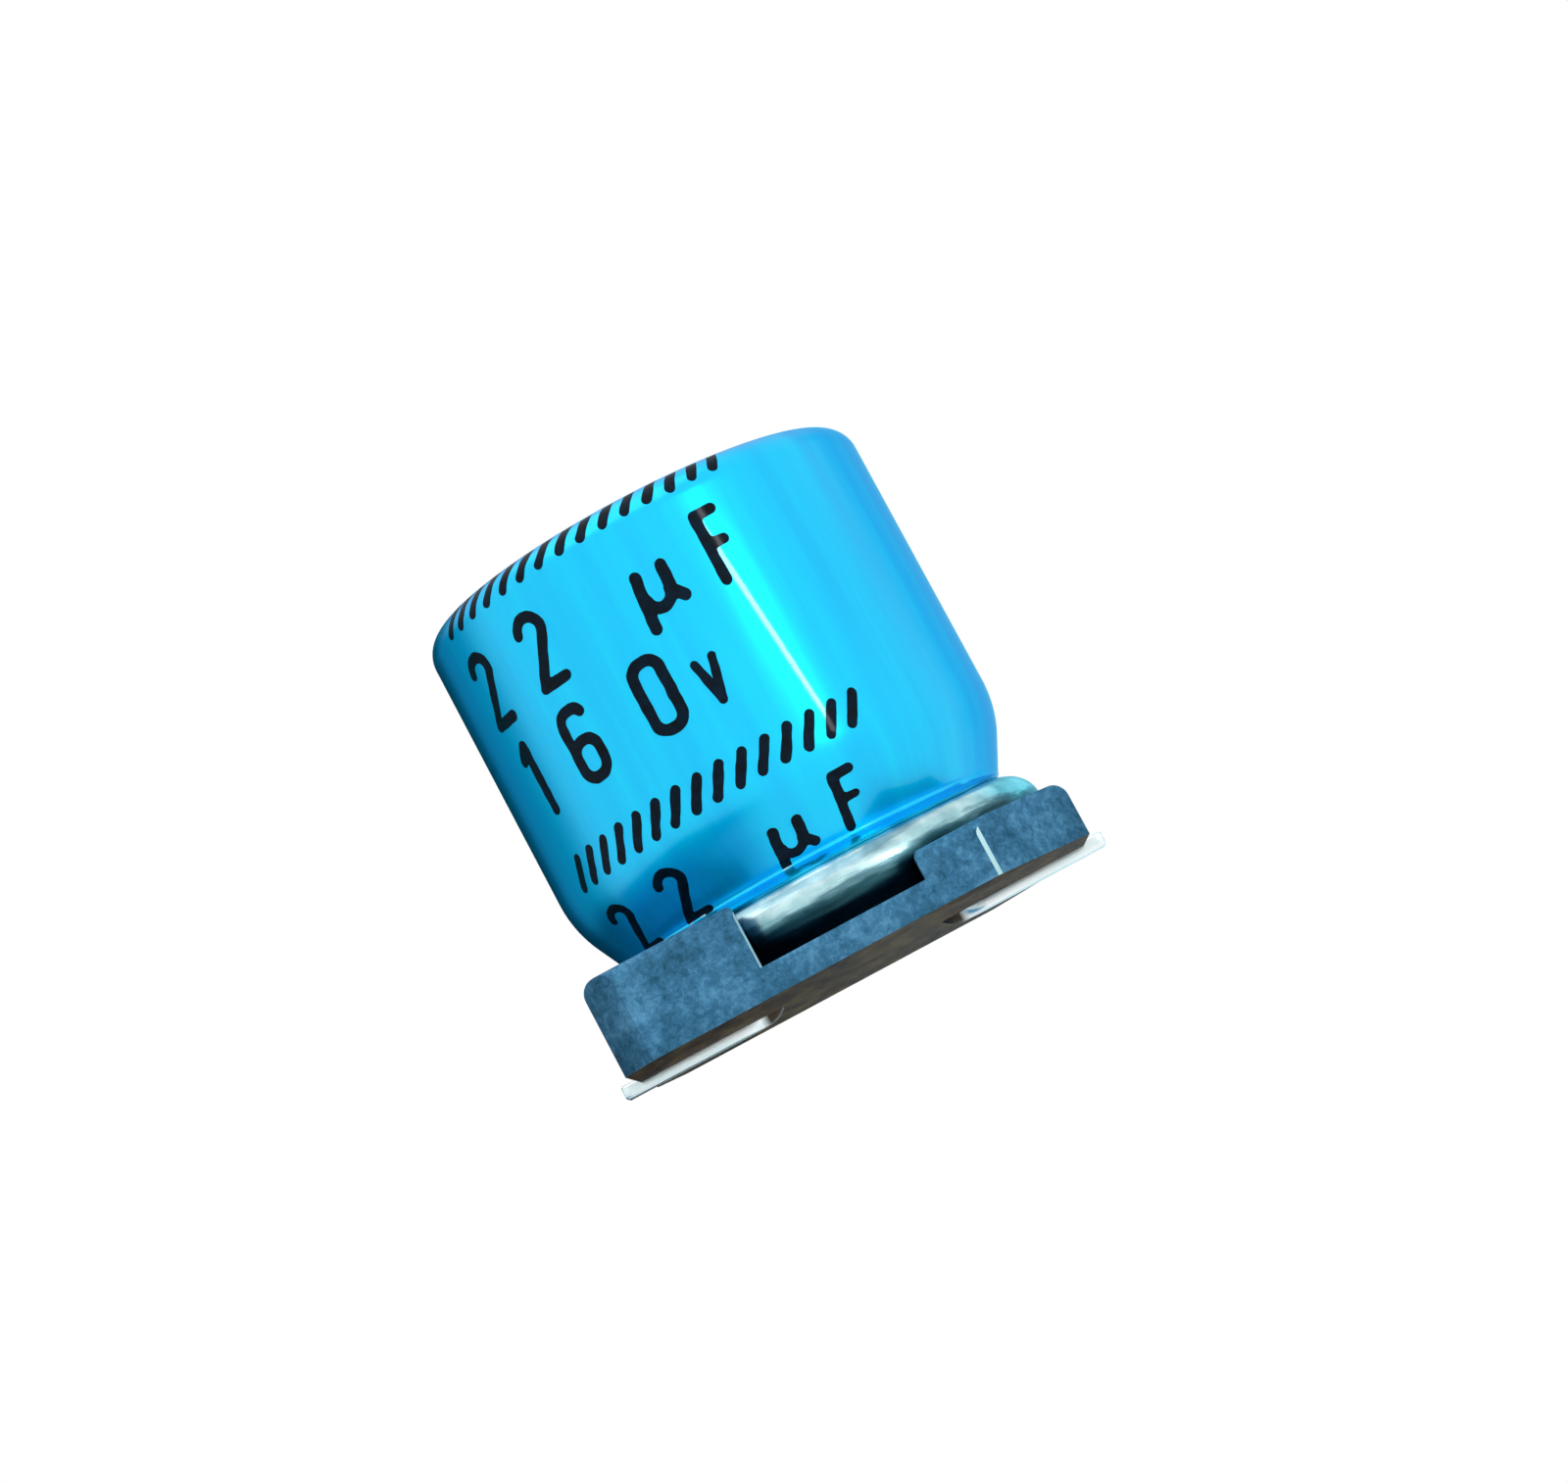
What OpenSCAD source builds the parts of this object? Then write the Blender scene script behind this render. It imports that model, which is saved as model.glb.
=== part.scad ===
// Surface-mount aluminium electrolytic capacitor, in millimetres.
// Z is up, and z = 0 is the circuit board that the two flat leads are soldered to.
// X runs from the negative lead to the positive one. The seat's two large cut corners mark the positive
// side.

/* [Can] */
// Outside diameter of the drawn can
can_d = 12.5; // [11:0.1:15]
// Height of the can, from its rolled lip to its end
can_h = 12.13; // [10:0.01:15]
// Wall thickness of the can
can_wall = 0.35; // [0.25:0.01:0.45]
// Thickness of the can's end
can_end = 0.45; // [0.35:0.01:0.6]
// Outside radius of the shoulder round the end
shoulder_r = 0.65; // [0.5:0.01:0.9]
// Length of each arm of the pressure vent's cross
vent_arm = 3.6; // [2.5:0.1:4.4]
// Depth of the vent's scored lines
vent_depth = 0.2; // [0.1:0.01:0.25]
// Width of the vent's scored lines at the surface
vent_w = 0.3; // [0.15:0.01:0.5]

/* [Bead and rolled lip] */
// Depth of the bead that grips the rubber
bead_depth = 0.8; // [0.6:0.01:0.95]
// Outside radius of the bead's floor
bead_r = 0.2; // [0.16:0.01:0.3]
// Slope of the neck that leads down into the bead, in degrees from upright
neck_slope = 27; // [20:1:32]
// Outside radius of the bend at the top of the neck
neck_r = 3.2; // [2:0.1:4]
// Slope of the wall that leads out of the bead to the lip, in degrees from upright
lip_slope = 70; // [55:1:75]
// Outside radius of the rolled lip
lip_r = 0.8; // [0.65:0.01:0.9]
// Height of the lip's straight side
lip_side = 0.2; // [0:0.01:0.4]
// How far round the lip is rolled, in degrees from its straight side
lip_turn = 150; // [120:1:165]

/* [Sleeve] */
// Thickness of the shrunk film
sleeve_t = 0.1; // [0.06:0.01:0.15]
// Diameter of the hole that the film leaves in the can's end
sleeve_hole_d = 9.8; // [8.6:0.1:10.6]
// Where the film ends on the lip, in degrees above the lip's straight side
sleeve_stop = 46; // [35:1:52]

/* [Rubber seal] */
// Height of the seal's outer face above the bottom of the lip
bung_up = 0.2; // [0.15:0.01:0.3]
// Thickness of the seal
bung_t = 3.15; // [2.7:0.01:3.4]

/* [Wound element] */
// Gap between the seal and the roll
roll_lift = 0.8; // [0.6:0.05:1.2]
// Gap between the roll and the inside of the can's end
roll_top_gap = 0.35; // [0.2:0.01:0.8]
// Gap between the roll's tape and the can's wall
roll_side_gap = 0.28; // [0.1:0.01:0.5]
// Diameter of the hole that the winding spindle leaves
spindle_d = 2; // [1:0.1:2.4]
// Distance from one turn to the next
turn_pitch = 0.56; // [0.4:0.01:0.8]
// Thickness of the paper edge that stands out of each turn
paper_t = 0.2; // [0.12:0.01:0.25]
// How far the paper stands past the foils at each end
paper_margin = 0.4; // [0.2:0.01:0.6]
// Thickness of the tape that holds the roll shut
tape_t = 0.06; // [0.04:0.01:0.1]
// Width of that tape
tape_w = 4.2; // [2.5:0.1:5]

/* [Leads] */
// Distance between the centres of the two leads
lead_pitch = 5; // [4.6:0.05:5.6]
// Diameter of the aluminium rod that passes through the rubber
rod_d = 1.8; // [1.4:0.05:2]
// How much rubber lies under the rod's end
rod_cover = 0.7; // [0.4:0.05:1]
// Width of the tab that is stitched to the foil
tab_w = 2; // [1.5:0.05:2.4]
// Thickness of that tab
tab_t = 0.25; // [0.15:0.01:0.35]
// How far the tab reaches into the roll
tab_reach = 4; // [2.5:0.1:4.6]
// Diameter of the tinned wire
wire_d = 0.65; // [0.5:0.01:0.8]
// Radius inside the bend of the wire
bend_in = 0.12; // [0.08:0.01:0.3]
// Width of the flattened lead
lead_w = 1; // [0.8:0.01:1.3]
// Thickness of the flattened lead
lead_t = 0.4; // [0.3:0.01:0.5]
// Length over which the round wire becomes flat
flat_run = 0.7; // [0.4:0.01:1]
// How far each lead reaches past the side of the seat
lead_out = 0.55; // [0.3:0.01:0.9]

/* [Seat] */
// How far the seat's sides stand out past the can
seat_margin = 0.35; // [0.25:0.01:0.7]
// Height of the seat's underside above the board
stand_off = 0.25; // [0.15:0.01:0.28]
// Thickness of the seat's floor
floor_t = 0.77; // [0.6:0.01:1]
// Height of the two corner walls on the negative side, above the floor
tall_wall = 1.77; // [1.2:0.01:1.95]
// Height of the two corner walls on the positive side, above the floor
low_wall = 0.77; // [0.5:0.01:1.2]
// Width of the gap between two corner walls
notch_w = 4.58; // [3.5:0.01:6]
// Length cut off the two corners on the positive side
corner_cut = 2.6; // [1.8:0.01:2.9]
// Length cut off the two corners on the negative side
corner_bevel = 0.88; // [0.4:0.01:1.4]
// Radius of the rounded top edges
edge_r = 0.4; // [0.1:0.01:0.5]
// Gap between the can and the corner walls
can_gap = 0.08; // [0.04:0.01:0.14]

/* [Hidden] */
// Gap between pieces that are pressed or shrunk together
fit = 0.01;
// Gap between a lead and the seat
lead_gap = 0.03;
// Straight steps in each arc of a turned outline
arc_steps = 8;
// Straight steps in each turn of the roll
turn_steps = 24;
// Runs a cutting tool clear of the face that it starts from
past = 1;

can_r = can_d / 2;
floor_z = stand_off + floor_t;
lip_z = floor_z;
end_z = lip_z + can_h;

// The can's wall is a chain of arcs round these centres, which are [radius, height]
lip_c = [can_r - lip_r, lip_z + lip_r];
lip_top_c = lip_c + [0, lip_side];
bead_c = [can_r - bead_depth + bead_r, lip_top_c.y + flank_rise(lip_r + bead_r, lip_slope)];
neck_c = [can_r - neck_r, bead_c.y + flank_rise(neck_r + bead_r, neck_slope)];
shoulder_c = [can_r - shoulder_r, end_z - shoulder_r];

bung_z = lip_z + bung_up;
bung_top = bung_z + bung_t;

roll_z = bung_top + roll_lift;
roll_top = end_z - can_end - roll_top_gap;
roll_r = can_r - can_wall - roll_side_gap - tape_t;
foil_z = roll_z + paper_margin;
foil_h = roll_top - paper_margin - foil_z;

rod_r = rod_d / 2;
rod_z = bung_z + rod_cover;
wire_r = wire_d / 2;
bend_r = wire_r + bend_in;
lead_x = lead_pitch / 2;
seat_half = can_r + seat_margin;
lead_end = seat_half + lead_out;

// Points along an arc, from angle a0 to angle a1
function arc(c, r, a0, a1, steps = arc_steps) =
    [for (i = [0:steps]) c + r * [cos(a0 + (a1 - a0) * i / steps), sin(a0 + (a1 - a0) * i / steps)]];

// Height between the centres of two arcs that a straight flank joins, at slope degrees from upright,
// where radii is the sum of their radii and the wall moves sideways by the bead's depth
function flank_rise(radii, slope) =
    radii * sin(slope) + (bead_depth - radii * (1 - cos(slope))) / tan(slope);

// The same points in the opposite order
function backwards(points) = [for (i = [len(points) - 1:-1:0]) points[i]];

// The can's outline from its end to the bead's floor, moved inwards by depth
function upper_path(depth) = concat(
    arc(shoulder_c, shoulder_r - depth, 90, 0),
    arc(neck_c, neck_r - depth, 0, -neck_slope),
    arc(bead_c, bead_r + depth, 180 - neck_slope, 180));

// The outline from the bead's floor out over the lip, down to stop degrees above its straight side
function lower_path(depth, stop) = concat(
    arc(bead_c, bead_r + depth, 180, 180 + lip_slope),
    arc(lip_top_c, lip_r - depth, lip_slope, stop));

// The whole outline, with the lip rolled right round
function can_path(depth) = concat(
    upper_path(depth),
    lower_path(depth, 0),
    arc(lip_c, lip_r - depth, 0, -lip_turn, 2 * arc_steps));

// One V-shaped scored line across the can's end
module score_line() {
    rotate([90, 0, 0])
        linear_extrude(2 * vent_arm, center = true)
            polygon([[-vent_w / 2, end_z], [0, end_z - vent_depth], [vent_w / 2, end_z],
                     [vent_w / 2, end_z + past], [-vent_w / 2, end_z + past]]);
}

// Drawn aluminium can with a beaded wall, a rolled lip and a scored end
module can() {
    color("silver")
        difference() {
            rotate_extrude($fn = 96)
                polygon(concat([[0, end_z]], can_path(0), backwards(can_path(can_wall)),
                               [[0, end_z - can_end]]));
            for (turn = [0, 90]) rotate([0, 0, turn]) score_line();
        }
}

// Outline of the film's two faces, from the can's end to the top of the lip
function film_path(depth) = concat(
    [[sleeve_hole_d / 2, end_z - depth]],
    upper_path(depth),
    lower_path(depth, sleeve_stop));

// Printed plastic film, shrunk over the shoulder at one end and over the bead at the other
module sleeve() {
    color("deepskyblue")
        rotate_extrude($fn = 96)
            polygon(concat(film_path(-sleeve_t), backwards(film_path(-fit))));
}

// Half section of the rubber seal: the lip digs into its lower edge, and the bead into its waist
module bung_section() {
    wall_in = can_wall + fit;
    lip_out = lip_r + fit;
    lip_in = lip_r - wall_in;
    past_lip = -lip_turn - asin(fit / lip_in);
    intersection() {
        translate([0, bung_z]) square([can_r, bung_t]);
        polygon(concat(
            [[0, lip_c.y - lip_out]],
            arc(lip_c, lip_out, -90, past_lip),
            arc(lip_c, lip_in, past_lip, 0, 2 * arc_steps),
            arc(lip_top_c, lip_in, 0, lip_slope),
            arc(bead_c, bead_r + wall_in, 180 + lip_slope, 180 - neck_slope),
            arc(neck_c, neck_r - wall_in, -neck_slope, 0),
            [[can_r - wall_in, end_z], [0, end_z]]));
    }
}

// Rubber seal with a stepped hole for each lead
module bung() {
    color("dimgray")
        difference() {
            rotate_extrude($fn = 96) bung_section();
            for (side = [-1, 1])
                translate([side * lead_x, 0, 0]) {
                    translate([0, 0, rod_z - fit]) cylinder(r = rod_r + fit, h = bung_t + past, $fn = 48);
                    translate([0, 0, bung_z - past]) cylinder(r = wire_r + fit, h = bung_t, $fn = 48);
                }
        }
}

// Plan of the paper edge that winds out from the spindle hole, one turn after another
module turns_plan() {
    inner_r = spindle_d / 2 + paper_t;
    count = floor((roll_r - inner_r - paper_t) / turn_pitch * turn_steps);
    function at(i, out) =
        (inner_r + out + turn_pitch * i / turn_steps) * [cos(360 * i / turn_steps), sin(360 * i / turn_steps)];
    polygon(concat([for (i = [0:count]) at(i, paper_t)], [for (i = [count:-1:0]) at(i, 0)]));
}

// Anode foil, cathode foil and paper wound into one roll, with a slot for each tab
module winding() {
    color("wheat")
        difference() {
            union() {
                translate([0, 0, foil_z]) cylinder(r = roll_r, h = foil_h, $fn = 96);
                for (z = [roll_z, foil_z + foil_h])
                    translate([0, 0, z]) linear_extrude(paper_margin) turns_plan();
            }
            translate([0, 0, roll_z]) cylinder(d = spindle_d, h = foil_h + 4 * paper_margin, $fn = 48);
            for (side = [-1, 1])
                translate([side * lead_x, 0, roll_z + (tab_reach + fit - past) / 2])
                    cube([tab_t + 2 * fit, tab_w + 2 * fit, tab_reach + fit + past], center = true);
        }
}

// Tape round the outside of the roll
module winding_tape() {
    color("gold")
        translate([0, 0, foil_z + (foil_h - tape_w) / 2])
            difference() {
                cylinder(r = roll_r + tape_t, h = tape_w, $fn = 96);
                translate([0, 0, -past]) cylinder(r = roll_r + fit, h = tape_w + 2 * past, $fn = 96);
            }
}

// One aluminium piece: a round rod in the rubber, beaten flat where it enters the roll
module tab() {
    rod_top = bung_top + roll_lift / 2;
    rod_h = rod_top - rod_z;
    translate([0, 0, rod_z]) cylinder(r = rod_r, h = rod_h, $fn = 48);
    translate([-tab_t / 2, -tab_w / 2, rod_top]) cube([tab_t, tab_w, roll_z + tab_reach - rod_top]);
    intersection() {
        translate([0, 0, rod_top]) cylinder(d1 = rod_d, d2 = tab_t, h = roll_lift / 2, $fn = 48);
        translate([0, 0, rod_top + roll_lift / 4]) cube([rod_d, tab_w, roll_lift / 2], center = true);
    }
}

module anode_tab() {
    color("lightgray") translate([lead_x, 0, 0]) tab();
}

module cathode_tab() {
    color("lightgray") translate([-lead_x, 0, 0]) tab();
}

// Tinned wire that leaves the rubber, turns outwards under the seat and is pressed flat.
// It points along +X, and grow makes it larger all round, for the groove that it lies in.
module lead_shape(grow = 0) {
    r = wire_r + grow;
    turn_z = wire_r + bend_r;
    flat_x = lead_x + bend_r;
    flat_end = flat_x + flat_run;
    half_w = lead_w / 2 + grow;
    tip = lead_end + grow;
    translate([lead_x, 0, turn_z]) cylinder(r = r, h = rod_z - turn_z, $fn = 48);
    translate([flat_x, 0, turn_z])
        rotate([90, 0, 0])
            rotate([0, 0, 180])
                rotate_extrude(angle = 90, $fn = 48)
                    translate([bend_r, 0]) circle(r = r, $fn = 48);
    intersection() {
        translate([0, 0, -grow])
            linear_extrude(wire_d + 2 * grow)
                polygon([[flat_x - grow, -r], [flat_end, -half_w], [tip, -half_w],
                         [tip, half_w], [flat_end, half_w], [flat_x - grow, r]]);
        rotate([90, 0, 0])
            linear_extrude(2 * lead_w, center = true)
                polygon([[flat_x - grow, -grow], [tip, -grow], [tip, lead_t + grow],
                         [flat_end, lead_t + grow], [flat_x - grow, wire_d + grow]]);
    }
}

module anode_lead() {
    color("gainsboro") lead_shape();
}

module cathode_lead() {
    color("gainsboro") mirror([1, 0, 0]) lead_shape();
}

// Plan of the seat: its corners are cut off, much more on the positive side than on the negative one
module seat_plan() {
    h = seat_half;
    cut = h - corner_cut;
    bevel = h - corner_bevel;
    polygon([[h, -cut], [h, cut], [cut, h], [-bevel, h], [-h, bevel], [-h, -bevel], [-bevel, -h], [cut, -h]]);
}

// Side view of the seat, from one corner wall to the other, with round top edges.
// left_h and right_h are the heights of the two walls above the board.
module seat_view(left_h, right_h) {
    h = seat_half;
    gap = notch_w / 2;
    polygon(concat(
        [[-h, stand_off]],
        arc([edge_r - h, left_h - edge_r], edge_r, 180, 90),
        arc([-gap - edge_r / 2, left_h - edge_r / 2], edge_r / 2, 90, 0),
        [[-gap, floor_z], [gap, floor_z]],
        arc([gap + edge_r / 2, right_h - edge_r / 2], edge_r / 2, 180, 90),
        arc([h - edge_r, right_h - edge_r], edge_r, 90, 0),
        [[h, stand_off]]));
}

// Moulded seat with four corner walls round the can, and a groove under it for each lead
module seat() {
    tall_z = floor_z + tall_wall;
    low_z = floor_z + low_wall;
    color("darkslategray")
        difference() {
            intersection() {
                linear_extrude(tall_z) seat_plan();
                rotate([90, 0, 0]) linear_extrude(2 * seat_half, center = true) seat_view(tall_z, low_z);
                union() {
                    translate([-seat_half, 0, 0])
                        rotate([90, 0, 90]) linear_extrude(seat_half) seat_view(tall_z, tall_z);
                    rotate([90, 0, 90]) linear_extrude(seat_half) seat_view(low_z, low_z);
                }
            }
            translate([0, 0, floor_z]) cylinder(r = can_r + can_gap, h = tall_wall + past, $fn = 96);
            lead_shape(lead_gap);
            mirror([1, 0, 0]) lead_shape(lead_gap);
        }
}

sleeve();
can();
bung();
winding();
winding_tape();
anode_tab();
cathode_tab();
anode_lead();
cathode_lead();
seat();
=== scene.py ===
import math

import bmesh
import bpy
from mathutils import Matrix, Vector, noise


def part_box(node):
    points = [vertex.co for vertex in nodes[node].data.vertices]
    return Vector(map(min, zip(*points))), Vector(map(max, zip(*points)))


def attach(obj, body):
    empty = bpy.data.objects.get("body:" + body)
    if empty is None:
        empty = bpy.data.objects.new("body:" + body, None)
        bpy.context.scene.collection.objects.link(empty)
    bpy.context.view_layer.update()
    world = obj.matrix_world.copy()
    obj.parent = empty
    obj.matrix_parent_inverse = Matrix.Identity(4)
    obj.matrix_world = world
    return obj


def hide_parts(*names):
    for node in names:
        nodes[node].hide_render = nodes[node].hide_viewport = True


mm = 0.001  # the sizes below are in millimetres

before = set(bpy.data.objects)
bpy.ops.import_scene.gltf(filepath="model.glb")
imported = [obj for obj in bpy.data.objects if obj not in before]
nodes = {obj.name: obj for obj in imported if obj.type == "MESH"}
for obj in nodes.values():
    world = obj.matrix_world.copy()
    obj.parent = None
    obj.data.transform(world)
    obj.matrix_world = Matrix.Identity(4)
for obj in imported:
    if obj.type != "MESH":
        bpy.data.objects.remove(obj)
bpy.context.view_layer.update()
print("frame loaded:", ", ".join(sorted(nodes)))


# Small helpers

def linearColour(hexText):
    # sRGB hex to the linear colour that a shader socket takes
    channels = [int(hexText[i:i + 2], 16) / 255 for i in (1, 3, 5)]
    return tuple(c / 12.92 if c <= 0.04045 else ((c + 0.055) / 1.055) ** 2.4 for c in channels) + (1.0,)


def setInputs(node, inputs):
    # each input is linked or set, and a node given as the value stands for its first output
    for name, value in inputs.items():
        if isinstance(value, bpy.types.Node):
            value = value.outputs[0]
        if isinstance(value, bpy.types.NodeSocket):
            node.id_data.links.new(value, node.inputs[name])
        else:
            node.inputs[name].default_value = value


def addNode(tree, kind, inputs=None, **settings):
    node = tree.nodes.new(kind)
    for name, value in settings.items():
        setattr(node, name, value)
    setInputs(node, inputs or {})
    return node


def setRamp(node, stops):
    # colour stops as (position, hex) pairs
    elements = node.color_ramp.elements
    while len(elements) < len(stops):
        elements.new(1.0)
    for element, (position, hexText) in zip(elements, stops):
        element.position = position
        element.color = linearColour(hexText)
    return node


def newMaterial(name):
    # with its tree, its shader and the object's own coordinates
    material = bpy.data.materials.new(name)
    material.use_nodes = True
    tree = material.node_tree
    place = addNode(tree, "ShaderNodeTexCoord").outputs["Object"]
    return material, tree, tree.nodes["Principled BSDF"], place


def newObject(name, data, material=None):
    obj = bpy.data.objects.new(name, data)
    bpy.context.scene.collection.objects.link(obj)
    if material:
        data.materials.clear()
        data.materials.append(material)
    return obj


def hideFrom(obj, *rays):
    for ray in rays:
        setattr(obj, "visible_" + ray, False)


def meshFrom(name, shape):
    # a plain mesh from what was drawn, with its faces outwards
    bmesh.ops.recalc_face_normals(shape, faces=shape.faces)
    mesh = bpy.data.meshes.new(name)
    shape.to_mesh(mesh)
    shape.free()
    return mesh


def prism(name, points, axis, start, end):
    # a flat outline given a thickness along X, Y or Z
    shape = bmesh.new()
    rings = []
    for reach in (start, end):
        spots = {"X": [(reach, a, b) for a, b in points], "Y": [(a, reach, b) for a, b in points],
                 "Z": [(a, b, reach) for a, b in points]}[axis]
        rings.append([shape.verts.new(Vector(spot) * mm) for spot in spots])
    shape.faces.new(rings[0])
    shape.faces.new(rings[1][::-1])
    for i in range(len(points)):
        j = (i + 1) % len(points)
        shape.faces.new((rings[0][i], rings[1][i], rings[1][j], rings[0][j]))
    return newObject(name, meshFrom(name, shape))


def bakeModifiers(obj):
    # the evaluated shape becomes the object's own plain mesh
    bpy.context.view_layer.update()
    mesh = bpy.data.meshes.new_from_object(obj.evaluated_get(bpy.context.evaluated_depsgraph_get()))
    obj.modifiers.clear()
    obj.data = mesh
    mesh.name = obj.name


def cutWith(obj, cutter, operation="DIFFERENCE"):
    modifier = obj.modifiers.new("cut", "BOOLEAN")
    modifier.operation = operation
    modifier.solver = "EXACT"
    modifier.object = cutter
    bakeModifiers(obj)
    bpy.data.objects.remove(cutter)


def closeMesh(obj, mergeDistance=0.0):
    # doubles merged, a face put into each closed line of open edges, and all faces turned outwards
    shape = bmesh.new()
    shape.from_mesh(obj.data)
    if mergeDistance:
        bmesh.ops.remove_doubles(shape, verts=shape.verts, dist=mergeDistance * mm)
        bmesh.ops.dissolve_degenerate(shape, dist=mergeDistance * mm, edges=shape.edges)
    bmesh.ops.edgeloop_fill(shape, edges=[edge for edge in shape.edges if edge.is_boundary])
    bmesh.ops.recalc_face_normals(shape, faces=shape.faces)
    shape.to_mesh(obj.data)
    shape.free()


def cleanMesh(obj, sharpDegrees):
    # closed and smooth, with edges kept crisp above an angle
    closeMesh(obj, 0.0002)
    for polygon in obj.data.polygons:
        polygon.use_smooth = True
    obj.data.set_sharp_from_angle(angle=math.radians(sharpDegrees))


def arcPoints(centre, radius, startDeg, endDeg, steps=12):
    angles = [math.radians(startDeg + (endDeg - startDeg) * i / steps) for i in range(steps + 1)]
    return [(centre[0] + radius * math.cos(a), centre[1] + radius * math.sin(a)) for a in angles]


def finishPiece(obj, slot, *replaced):
    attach(obj, "root")
    if replaced:
        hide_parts(*replaced)


# Camera: the photograph is taken from just below the seat and rolled over to one side

view = {
    "distance": 100.1,      # from the can's axis
    "height": -5.19,        # of the lens, below the board's plane
    "azimuth": -0.55,       # degrees, from straight in front
    "roll": -28.25,         # degrees, so that the can leans to the left
    "aimX": 0.943,
    "aimZ": 6.477,
    "lens": 86.985,
    "sensor": 36.0,         # width
}


def makeCamera():
    azimuth = math.radians(view["azimuth"])
    away, aside = view["distance"], view["aimX"]
    eye = Vector((away * math.sin(azimuth), -away * math.cos(azimuth), view["height"]))
    aim = Vector((aside * math.cos(azimuth), aside * math.sin(azimuth), view["aimZ"]))
    ahead = (aim - eye).normalized()
    level = ahead.cross(Vector((0, 0, 1))).normalized()
    upright = level.cross(ahead)
    roll = math.radians(view["roll"])
    right = level * math.cos(roll) + upright * math.sin(roll)
    up = upright * math.cos(roll) - level * math.sin(roll)
    data = bpy.data.cameras.new("camera")
    data.sensor_fit = "HORIZONTAL"
    data.sensor_width = view["sensor"]
    data.lens = view["lens"]
    data.clip_start = 1 * mm
    data.clip_end = 20.0
    camera = newObject("camera", data)
    camera.matrix_world = Matrix.Translation(eye * mm) @ Matrix((right, up, -ahead)).transposed().to_4x4()
    bpy.context.scene.camera = camera


makeCamera()
print("camera placed")


# World, floor, lamps and cards

studio = {
    "background": "#FFFFFF",
    "fillLight": "#F4F8FF",   # cool white on everything that isn't a mirror
    "fillStrength": 0.45,
    "floorSize": 3000,
    "floorColour": "#F2F3F4",
    # name, place, size, watts, and degrees that it is turned in its own plane
    "lamps": [
        ("softBoxTop", (-10, -60, 150), (160, 160), 0.05, 0),
        ("softBoxFront", (36, -130, 38), (110, 110), 0.13, 0),
        ("stripLight", (68, -97, 26), (3.5, 27), 0.0075, 45),
    ],
    # cards that show in what is glossy: name, place, size, colour, strength, and what they face if not level
    "mirroredCards": [
        ("cardBelow", (-42, -2, -26), (78, 96), "#1B6A9B", 1.0, None),
        ("cardBelowLeft", (-90, -50, -32), (190, 260), "#2A8FB0", 1.0, None),
        ("cardLowLeft", (-58, 60, -30), (150, 60), "#0B3A50", 1.0, (0, 0, 6)),
        ("cardLeft", (-66, 84, 10), (270, 190), "#2F98A8", 1.0, (0, 0, 6)),
        ("cardRight", (63, 90, 20), (190, 180), "#8AE6FA", 1.0, (0, 0, 6)),
        ("cardBehind", (-24, 60, 0), (60, 140), "#03161C", 1.0, (0, 0, 6)),
        ("cardOverhead", (-18, 10, 105), (90, 120), "#FFF8F2", 1.6, None),
    ],
    # cards that shade what is matt
    "shades": [
        ("shadeBelow", (0, -4, -26), (90, 84), "#14181B", 1.0, None),
        ("shadeLeft", (-85, -60, 0), (190, 170), "#0C0E10", 1.0, (0, 0, 0)),
        ("shadeRight", (95, -45, 0), (190, 170), "#14181B", 1.0, (0, 0, 0)),
    ],
}


def makeWorld():
    world = bpy.data.worlds.new("studioWorld")
    world.use_nodes = True
    bpy.context.scene.world = world
    tree = world.node_tree
    tree.nodes.clear()
    ray = addNode(tree, "ShaderNodeLightPath")
    mirrored = addNode(tree, "ShaderNodeMath", {0: ray.outputs["Is Glossy Ray"],
                       1: ray.outputs["Is Transmission Ray"]}, operation="MAXIMUM")
    seenRay = addNode(tree, "ShaderNodeMath", {0: mirrored,
                      1: ray.outputs["Is Camera Ray"]}, operation="MAXIMUM")
    fill = addNode(tree, "ShaderNodeBackground", {"Color": linearColour(studio["fillLight"]),
                   "Strength": studio["fillStrength"]})
    seen = addNode(tree, "ShaderNodeBackground", {"Color": linearColour(studio["background"]),
                   "Strength": 1.0})
    mix = addNode(tree, "ShaderNodeMixShader", {0: seenRay, 1: fill, 2: seen})
    addNode(tree, "ShaderNodeOutputWorld", {"Surface": mix})


def paleCardMaterial():
    # plain matt card, seen from above only, because the photograph looks up past its edge
    material, tree, shader, _ = newMaterial("paleCard")
    setInputs(shader, {"Base Color": linearColour(studio["floorColour"]), "Roughness": 0.9})
    under = addNode(tree, "ShaderNodeNewGeometry")
    clear = addNode(tree, "ShaderNodeBsdfTransparent")
    mix = addNode(tree, "ShaderNodeMixShader", {0: under.outputs["Backfacing"], 1: shader, 2: clear})
    setInputs(tree.nodes["Material Output"], {"Surface": mix})
    return material


def levelSheet(name, size, material):
    x, y = size[0] / 2 * mm, size[1] / 2 * mm
    mesh = bpy.data.meshes.new(name)
    mesh.from_pydata([(-x, -y, 0), (x, -y, 0), (x, y, 0), (-x, y, 0)], [], [(0, 1, 2, 3)])
    return newObject(name, mesh, material)


def makeFloor():
    # light from below reaches the seat's underside, so only the camera meets the floor
    floor = levelSheet("floor", (studio["floorSize"], studio["floorSize"]), paleCardMaterial())
    hideFrom(floor, "diffuse", "glossy", "transmission", "shadow")


def facing(spot, target, forward):
    # where a lamp or card stands, turned towards its target; both in millimetres
    place, aim = Vector(spot) * mm, Vector(target) * mm
    return Matrix.Translation(place) @ (aim - place).to_track_quat(forward, "Y").to_matrix().to_4x4()


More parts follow.
